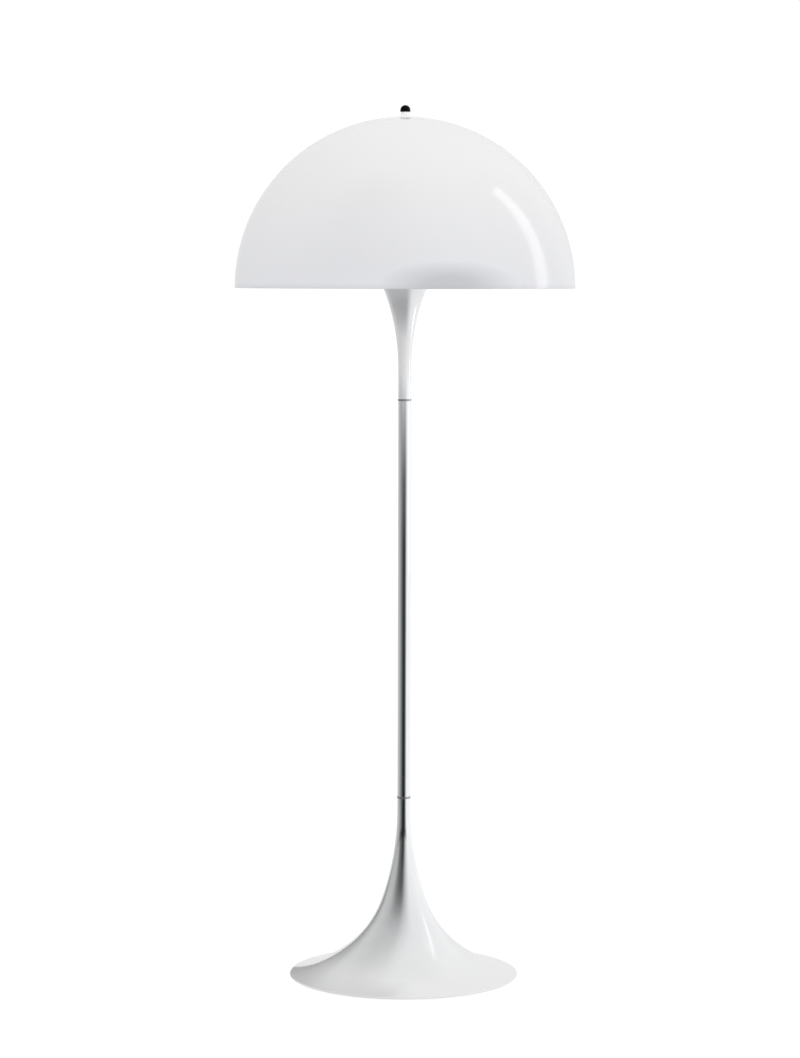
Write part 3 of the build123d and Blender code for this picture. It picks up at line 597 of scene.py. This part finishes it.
class Glow(Tree):
    """An emission material; its tone may be worked out from a point's place round the stem."""

    def __init__(self, name, strength=1.0):
        super().__init__(name)
        self.tree.nodes.clear()
        self.glow = self.node("ShaderNodeEmission", 1.0, strength)
        self.surface = self.node("ShaderNodeOutputMaterial").inputs["Surface"]
        self.link(self.glow.outputs[0], self.surface)

    def math(self, operation, *inputs):
        return self.node("ShaderNodeMath", *inputs, operation=operation).outputs[0]

    def place(self):
        """World position as separate x, y and z."""
        position = self.node("ShaderNodeNewGeometry").outputs["Position"]
        return self.node("ShaderNodeSeparateXYZ", position).outputs

    def around(self, x, y):
        """Bearing as 0..1: the front is 0.5, the right 0.75 and the left 0.25."""
        turn = self.math("DIVIDE", self.math("ARCTAN2", x, self.math("MULTIPLY", y, -1.0)), pi)
        return self.math("MULTIPLY_ADD", turn, 0.5, 0.5)

    def cover(self, share):
        """Let the emission cover only this share of what lies behind it."""
        clear = self.node("ShaderNodeBsdfTransparent").outputs[0]
        blend = self.node("ShaderNodeMixShader", share, clear, self.glow.outputs[0])
        self.link(blend.outputs[0], self.surface)


def seen_by(thing, camera=False, glossy=False):
    thing.visible_camera = camera
    thing.visible_diffuse = False
    thing.visible_glossy = glossy
    thing.visible_transmission = camera
    thing.visible_volume_scatter = False
    thing.visible_shadow = False


def stage_mesh(name, points, faces, material):
    mesh = bpy.data.meshes.new(name)
    mesh.from_pydata(points, [], faces)
    thing = bpy.data.objects.new(name, mesh)
    bpy.context.scene.collection.objects.link(thing)
    mesh.materials.append(material)
    return thing


def flat(name, half_w, half_h, material):
    """Flat rectangle in the plane z = 0."""
    signs = ((-1, -1), (1, -1), (1, 1), (-1, 1))
    corners = [(i * half_w, j * half_h, 0) for i, j in signs]
    return stage_mesh(name, corners, [(0, 1, 2, 3)], material)


def ball(name, radius, material):
    bpy.ops.mesh.primitive_uv_sphere_add(segments=96, ring_count=48, radius=radius)
    thing = bpy.context.object
    thing.name = name
    thing.data.materials.append(material)
    return thing


def facing(place, aim):
    """Turn that points +Z from the aim towards the place."""
    return (Vector(place) - Vector(aim)).to_track_quat("Z", "Y")


def floor():
    """Plain white floor; from below it is clear, so that a view from there shows the underside."""
    made = Shader("floor_white", (0.16, 0.16, 0.16), 0.9, Specular_IOR_Level=0.0,
                  Emission_Color=(1, 1, 1, 1), Emission_Strength=0.9)
    from_below = made.node("ShaderNodeNewGeometry").outputs["Backfacing"]
    clear = made.node("ShaderNodeBsdfTransparent").outputs[0]
    blend = made.node("ShaderNodeMixShader", from_below, made.shader.outputs[0], clear)
    made.link(blend.outputs[0], made.tree.nodes["Material Output"].inputs["Surface"])
    seen_by(flat("studio_floor", FLOOR_HALF, FLOOR_HALF, made.material), camera=True)


def reflections():
    """The room as gloss sees it: white at the right, grey at the left, a bright horizon, a greyer
    floor, a light wall at the back and a dark bay high at the front left."""
    made = Glow("studio_reflections")
    back_tone, bay_tone = 0.84, 0.035
    x, y, z = made.place()
    above_eye = made.math("SUBTRACT", z, EYE_LEVEL)
    from_eye = made.node("ShaderNodeCombineXYZ", x, y, above_eye).outputs[0]
    unit = made.node("ShaderNodeVectorMath", from_eye, operation="NORMALIZE").outputs["Vector"]
    x, y, z = made.node("ShaderNodeSeparateXYZ", unit).outputs
    around = made.around(x, y)
    rise = made.math("MULTIPLY_ADD", made.math("ARCSINE", z), 1 / pi, 0.5)
    left = made.ramp(rise, [(-90, 0.3), (-30, 0.25), (-18, 0.3), (-10, 0.6), (-2, 0.54), (20, 0.46),
                            (50, 0.5), (90, 1.0)], **RISE)
    front = made.ramp(rise, [(-90, 0.60), (-32, 0.60), (-20, 0.80), (-10, 0.95), (-2, 0.90),
                             (15, 0.75), (40, 0.66), (65, 0.65), (90, 1.0)], **RISE)
    right = made.ramp(rise, [(-90, 0.90), (-30, 1.0), (-5, 1.05), (90, 1.0)], **RISE)
    to_left = made.ramp(around, [(-180, 1), (-60, 1), (-30, 0), (180, 0)], **BEARING)
    to_right = made.ramp(around, [(-180, 0), (0, 0), (12, 0.3), (30, 0.75), (60, 1), (180, 1)],
                         **BEARING)
    to_back = made.ramp(around, [(-180, 1), (-165, 0.85), (-145, 0.45), (-120, 0.12), (-100, 0),
                                 (140, 0), (160, 0.8), (180, 1)], **BEARING)
    sides = made.mix(to_right, made.mix(to_left, front, left), right)
    tone = made.mix(to_back, sides, back_tone)
    bay_across = made.ramp(around, [(-85, 0), (-66, 0.4), (-48, 0.85), (-30, 0.85), (-18, 0.6),
                                    (-5, 0.3), (8, 0.06), (20, 0)], **BEARING)
    bay_up = made.ramp(rise, [(5, 0), (18, 1), (60, 1), (70, 0.7), (82, 0)], **RISE)
    tone = made.mix(made.math("MULTIPLY", bay_across, bay_up), tone, bay_tone)
    made.link(tone, made.glow.inputs["Color"])
    seen_by(ball("reflection_dome", DOME_R, made.material), glossy=True)


def dark_screen():
    """A dark soft-edged screen at the front left, which only gloss sees: the stem's dark stripe."""
    made = Glow("dark_screen_tone")
    made.feed(made.glow.inputs["Color"], SCREEN_TONE)
    x, y, z = made.place()
    sideways = made.ramp(made.around(x, y),
                         [(-115, 0), (-86, 0.2), (-60, 0.56), (-38, 0.9), (-18, 1), (9, 1),
                          (19, 0.88), (29, 0.6), (39, 0.3), (50, 0.06), (59, 0)], **BEARING)
    upward = made.ramp(z, [(0.0, 1), (0.57, 0.96), (0.69, 0.86), (0.76, 0.67), (0.82, 0.46),
                           (0.86, 0.22), (0.91, 0)])
    made.cover(made.math("MULTIPLY", sideways, upward))
    radius, top, steps = 0.8, 0.95, 40
    first, last = radians(-120), radians(65)
    bearings = [first + (last - first) * i / steps for i in range(steps + 1)]
    points = [(radius * sin(a), -radius * cos(a), height) for a in bearings for height in (0, top)]
    faces = [(2 * i, 2 * i + 2, 2 * i + 3, 2 * i + 1) for i in range(steps)]
    seen_by(stage_mesh("dark_screen", points, faces, made.material), glossy=True)


def foot_canopy():
    """A wide cone over the foot, which only gloss below it sees: dark at the left, which gives the
    foot its leaning dark stripe, and light at the right. Reach is the distance from the stem."""
    made = Glow("foot_canopy_tone")
    x, y, _ = made.place()
    reach = made.math("SQRT", made.math("ADD", made.math("MULTIPLY", x, x),
                                        made.math("MULTIPLY", y, y)))
    around = made.around(x, y)

    # Where dark turns to light: the edge leans within edge_span degrees either side of the front
    edge_span = 50
    lean = made.ramp(reach, [(0.05, 0.0), (0.1, 0.28), (0.145, 0.42), (0.18, 0.53), (0.24, 0.56),
                             (0.33, 0.58), (0.45, 0.66), (0.6, 0.72)])
    edge = made.math("MULTIPLY_ADD", lean, 2 * edge_span / 360.0, (180 - edge_span) / 360.0)
    sharpness = made.ramp(reach, [(0.1, 0.6), (0.18, 0.75), (0.33, 1.0)])
    past_edge = made.math("MULTIPLY_ADD", made.math("SUBTRACT", around, edge), sharpness, 0.5)
    lit = made.ramp(past_edge, [(-30, 0), (-20, 0.04), (-9, 0.3), (-2, 0.5), (6, 0.66), (18, 0.92),
                                (28, 1)], **BEARING)                      # in degrees past the edge

    # A grey window in the dark side, far out at the left, which fades towards the back
    window_tone = 0.5
    window = made.math("MULTIPLY",
                       made.ramp(around, [(-75, 1), (-60, 0.75), (-45, 0.3), (-28, 0.1), (-12, 0)],
                                 **BEARING),
                       made.ramp(reach, [(0.19, 0), (0.26, 0.4), (0.36, 0.8), (0.5, 1)]))
    fade = made.ramp(around, [(-145, 0), (-108, 1)], **BEARING)
    far_out = made.ramp(reach, [(0.25, 0), (0.5, 1)])
    window = made.math("MULTIPLY", window, made.mix(far_out, 1.0, fade))

    dark = made.ramp(reach, [(0.02, 0.75), (0.06, 0.6), (0.1, 0.35), (0.145, 0.18), (0.24, 0.08),
                             (0.33, 0.01)])
    left = made.mix(window, dark, window_tone)
    right = made.mix(made.ramp(around, [(60, 0), (85, 1)], **BEARING),
                     made.ramp(reach, [(0.06, 0.75), (0.1, 0.84), (0.3, 0.9), (0.6, 1.0)]),
                     made.ramp(reach, [(0.06, 0.75), (0.12, 0.82), (0.19, 0.98), (0.3, 1.0)]))
    made.link(made.mix(lit, left, right), made.glow.inputs["Color"])

    # A brighter streak at the right, for the thin light line on the foot
    streak_gain = 0.5
    streak = made.math("MULTIPLY",
                       made.ramp(around, [(84, 0), (88, 1), (90, 1), (94, 0)], **BEARING),
                       made.ramp(reach, [(0.15, 0), (0.19, 1), (0.28, 1), (0.4, 0)]))
    made.link(made.math("MULTIPLY_ADD", streak, streak_gain, 1.0), made.glow.inputs["Strength"])

    below = made.node("ShaderNodeNewGeometry").outputs["Backfacing"]      # the cone's faces look up
    span = made.ramp(around, [(-178, 0), (-166, 1), (112, 1), (125, 0)], **BEARING)
    made.cover(made.math("MULTIPLY", below, span))
    rings, steps = ((0.016, 0.301), (1.3, 0.168)), 64                     # (radius, height)
    points = [(r * sin(FULL * i / steps), -r * cos(FULL * i / steps), height)
              for r, height in rings for i in range(steps)]
    faces = [(i, steps + i, steps + (i + 1) % steps, (i + 1) % steps) for i in range(steps)]
    seen_by(stage_mesh("foot_canopy", points, faces, made.material), glossy=True)


def softbox(name, place, size, strength, aim):
    """Flat emitting card that faces a point and that only gloss sees."""
    card = flat(name, size[0] / 2, size[1] / 2, Glow(name, strength).material)
    card.matrix_world = Matrix.Translation(place) @ facing(place, aim).to_matrix().to_4x4()
    seen_by(card, glossy=True)


def area_light(name, place, aim, size, power):
    """Soft light that faces a point and that neither gloss nor the camera sees."""
    data = bpy.data.lights.new(name, "AREA")
    data.shape = "RECTANGLE"
    data.size, data.size_y = size
    data.energy = power
    lamp = bpy.data.objects.new(name, data)
    bpy.context.scene.collection.objects.link(lamp)
    lamp.location = place
    lamp.rotation_euler = facing(place, aim).to_euler()
    lamp.visible_glossy = False
    lamp.visible_camera = False


def world():
    """Even light, brighter from above than from below."""
    from_below, from_above, blend_half = 0.66, 0.93, 0.35
    made = bpy.data.worlds.new("studio")
    bpy.context.scene.world = made
    made.use_nodes = True
    tree = made.node_tree
    glow = tree.nodes["Background"]
    glow.inputs["Color"].default_value = (1, 1, 1, 1)
    place = tree.nodes.new("ShaderNodeTexCoord")
    parts = tree.nodes.new("ShaderNodeSeparateXYZ")
    ramp = tree.nodes.new("ShaderNodeMapRange")
    ramp.interpolation_type = "SMOOTHSTEP"
    for label, value in (("From Min", -blend_half), ("From Max", blend_half),
                         ("To Min", from_below), ("To Max", from_above)):
        ramp.inputs[label].default_value = value
    tree.links.new(place.outputs["Generated"], parts.inputs["Vector"])
    tree.links.new(parts.outputs["Z"], ramp.inputs["Value"])
    tree.links.new(ramp.outputs["Result"], glow.inputs["Strength"])


world()
floor()
reflections()
dark_screen()
foot_canopy()
white = Glow("backdrop_white", strength=1.05).material
seen_by(ball("backdrop", BACKDROP_R, white), camera=True)
softbox("strip_softbox", place=(1.24, 0.125, 1.45), size=(0.24, 1.9), strength=3.2,
        aim=(0, 0, 1.45))
area_light("low_fill", place=(0.2, -0.09, 0.76), aim=(0, 0, 0.98), size=(0.12, 0.12), power=0.2)
area_light("key_softbox", place=(2.6, -1.6, 1.6), aim=(0, 0, 0.6), size=(1.6, 2.2), power=3.0)


# ---- camera, at the photograph's viewing angle ----
PHOTO_LONG_SIDE = 1058
FOCAL_PIXELS = 3074.27
PITCH, ROLL = radians(-4.712), radians(0.1246)
CAMERA_PLACE = (-0.0073, -4.5284, 1.04153)
SENSOR_MM = 36.0

data = bpy.data.cameras.new("camera")
data.sensor_width = SENSOR_MM
data.lens = FOCAL_PIXELS * data.sensor_width / PHOTO_LONG_SIDE
data.clip_end = 100.0
camera = bpy.data.objects.new("camera", data)
bpy.context.scene.collection.objects.link(camera)
right = Vector((cos(ROLL), 0, sin(ROLL)))
ahead = Matrix.Rotation(PITCH, 3, right) @ Vector((0, 1, 0))
above = right.cross(ahead)
turn = Matrix((right, above, -ahead)).transposed().to_4x4()
camera.matrix_world = Matrix.Translation(CAMERA_PLACE) @ turn
bpy.context.scene.camera = camera
bpy.context.scene.view_settings.view_transform = "Standard"
